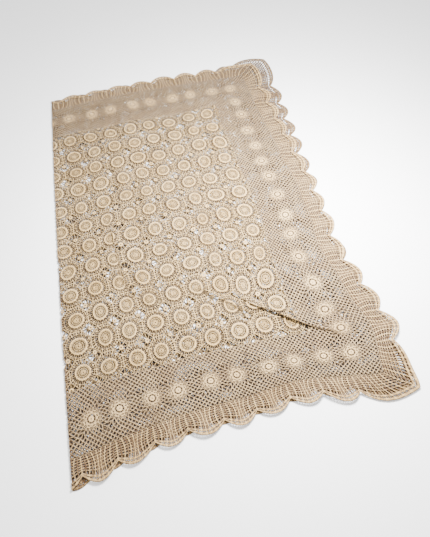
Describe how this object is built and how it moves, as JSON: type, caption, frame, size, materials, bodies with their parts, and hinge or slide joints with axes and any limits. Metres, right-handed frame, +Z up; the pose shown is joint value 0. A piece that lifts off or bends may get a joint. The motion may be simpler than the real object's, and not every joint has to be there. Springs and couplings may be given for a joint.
{
  "type": "folded crochet lace throw",
  "caption": "Crocheted cotton lace throw of joined wheel motifs with a mesh border and scalloped edging, folded once and laid flat.",
  "frame": {"origin": "centre of the folded throw's rectangle, on the surface it lies on", "axes": "+X across the throw from the fold to the open side, +Y along the fold towards the far end, +Z up"},
  "size_m": [0.975, 1.546, 0.0233],
  "materials": {
    "cotton_field": "matte ecru cotton crochet, raised wheel motifs",
    "cotton_border": "matte ecru cotton crochet, fine open mesh with rosettes",
    "cotton_edging": "matte ecru cotton crochet, fan scallops with corded rims",
    "cotton_fold": "matte ecru cotton crochet, bent round at the fold"
  },
  "bodies": {
    "lower_leaf": {"lower_motif_row_01": "cotton_field", "lower_motif_row_02": "cotton_field", "lower_motif_row_03": "cotton_field", "lower_motif_row_04": "cotton_field", "lower_motif_row_05": "cotton_field", "lower_motif_row_06": "cotton_field", "lower_motif_row_07": "cotton_field", "lower_motif_row_08": "cotton_field", "lower_motif_row_09": "cotton_field", "lower_motif_row_10": "cotton_field", "lower_motif_row_11": "cotton_field", "lower_motif_row_12": "cotton_field", "lower_side_border": "cotton_border", "lower_side_edging": "cotton_edging", "lower_near_border": "cotton_border", "lower_near_edging": "cotton_edging", "lower_far_border": "cotton_border", "lower_far_edging": "cotton_edging", "lower_fold_turn": "cotton_fold"},
    "upper_leaf": {"upper_motif_row_01": "cotton_field", "upper_motif_row_02": "cotton_field", "upper_motif_row_03": "cotton_field", "upper_motif_row_04": "cotton_field", "upper_motif_row_05": "cotton_field", "upper_motif_row_06": "cotton_field", "upper_motif_row_07": "cotton_field", "upper_motif_row_08": "cotton_field", "upper_motif_row_09": "cotton_field", "upper_motif_row_10": "cotton_field", "upper_motif_row_11": "cotton_field", "upper_motif_row_12": "cotton_field", "upper_side_border": "cotton_border", "upper_side_edging": "cotton_edging", "upper_near_border": "cotton_border", "upper_near_edging": "cotton_edging", "upper_far_border": "cotton_border", "upper_far_edging": "cotton_edging", "upper_fold_turn": "cotton_fold", "upper_tuck": "cotton_field"}
  },
  "joints": [
    {"name": "fold_opening", "type": "hinge", "parent": "lower_leaf", "child": "upper_leaf", "pos_m": [-0.4877, 0, 0.0045], "axis": [0, -1, 0], "range_deg": [0, 180], "deforming": ["upper_tuck"]}
  ]
}
